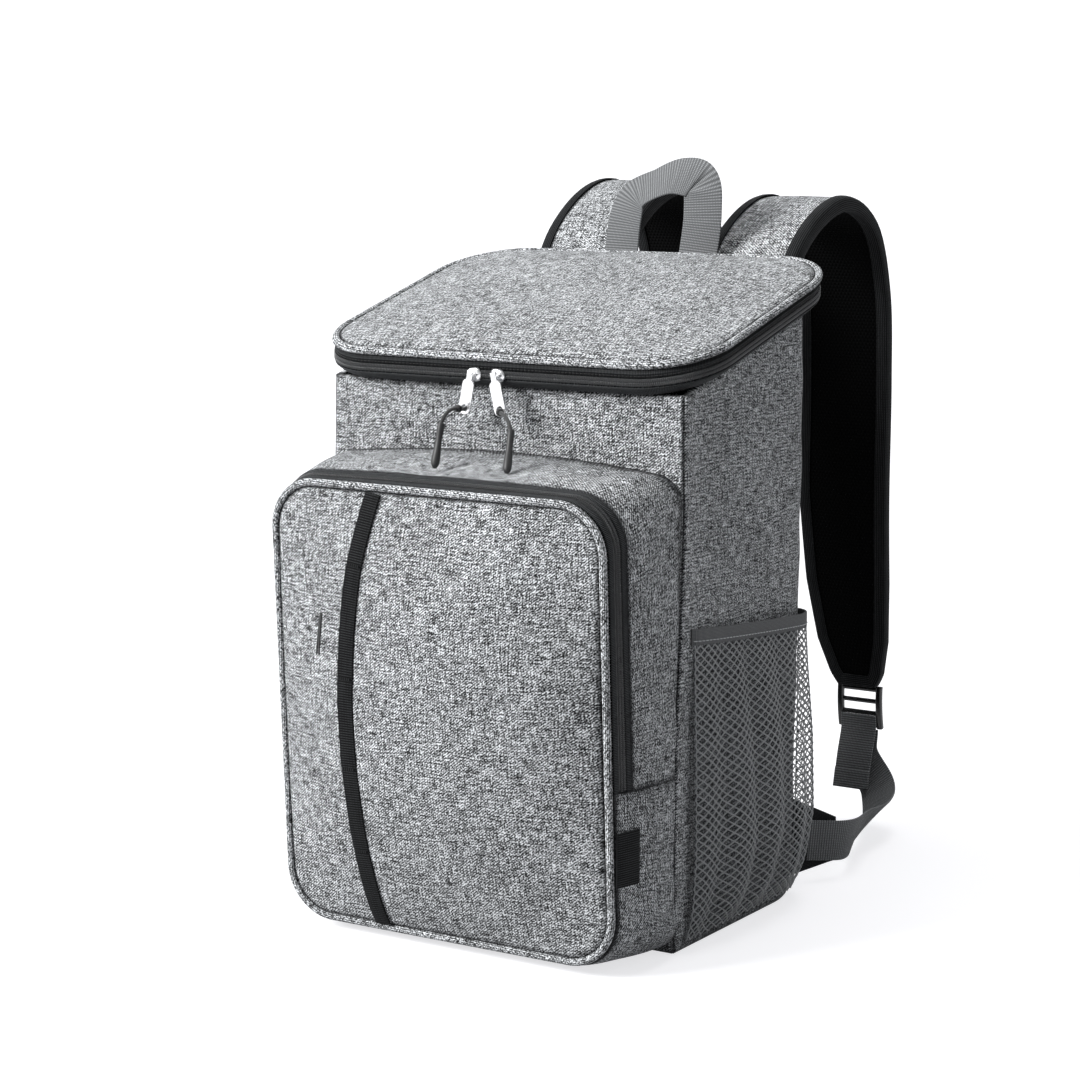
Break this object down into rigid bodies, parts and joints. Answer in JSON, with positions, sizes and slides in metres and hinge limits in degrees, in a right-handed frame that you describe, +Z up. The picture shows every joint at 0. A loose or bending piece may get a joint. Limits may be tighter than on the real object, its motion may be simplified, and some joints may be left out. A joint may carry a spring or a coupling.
{
  "type": "cooler backpack",
  "caption": "Soft insulated backpack with a sloping zipped lid, a bulging front pocket, net side pockets, padded shoulder straps and a carry handle.",
  "frame": {"origin": "middle of the base, on the floor plane", "axes": "+Z up, front pocket towards -Y, shoulder straps towards +Y, +X to the right seen from the front"},
  "size_m": [0.3236, 0.5019, 0.5238],
  "materials": {
    "heather_cloth": "grey heather woven polyester",
    "piping_cloth": "grey corded piping",
    "black_tape": "black woven tape",
    "black_coil": "black nylon zip coil",
    "grey_webbing": "grey ribbed webbing",
    "grey_net": "grey open net",
    "air_mesh": "black padded air mesh",
    "silver_metal": "silver plated zinc",
    "black_plastic": "black moulded plastic",
    "black_rubber": "black moulded rubber"
  },
  "bodies": {
    "root": {"body_shell": "heather_cloth", "lid_panel": "heather_cloth", "lid_piping": "piping_cloth", "lid_hinge": "heather_cloth", "lid_zip_upper_tape": "black_tape", "lid_zip_coil": "black_coil", "lid_zip_lower_tape": "black_tape", "pocket_panel": "heather_cloth", "pocket_piping": "piping_cloth", "pocket_zip_front_tape": "black_tape", "pocket_zip_coil": "black_coil", "pocket_zip_rear_tape": "black_tape", "pocket_upper_gusset": "heather_cloth", "pocket_lower_gusset": "heather_cloth", "pocket_webbing_strip": "black_tape", "side_tag": "black_tape", "back_panel": "air_mesh", "carry_handle": "grey_webbing", "net_pocket_right": "grey_net", "net_binding_right": "grey_webbing", "strap_pad_right": "heather_cloth", "strap_lining_right": "air_mesh", "strap_binding_right": "black_tape", "ladder_buckle_right": "black_plastic", "strap_webbing_right": "grey_webbing", "webbing_tail_right": "grey_webbing", "webbing_anchor_right": "black_tape", "zip_slider_right": "silver_metal", "pull_tab_right": "silver_metal", "pull_cord_right": "black_rubber", "pull_end_right": "black_rubber", "net_pocket_left": "grey_net", "net_binding_left": "grey_webbing", "strap_pad_left": "heather_cloth", "strap_lining_left": "air_mesh", "strap_binding_left": "black_tape", "ladder_buckle_left": "black_plastic", "strap_webbing_left": "grey_webbing", "webbing_tail_left": "grey_webbing", "webbing_anchor_left": "black_tape", "zip_slider_left": "silver_metal", "pull_tab_left": "silver_metal", "pull_cord_left": "black_rubber", "pull_end_left": "black_rubber"}
  },
  "joints": []
}
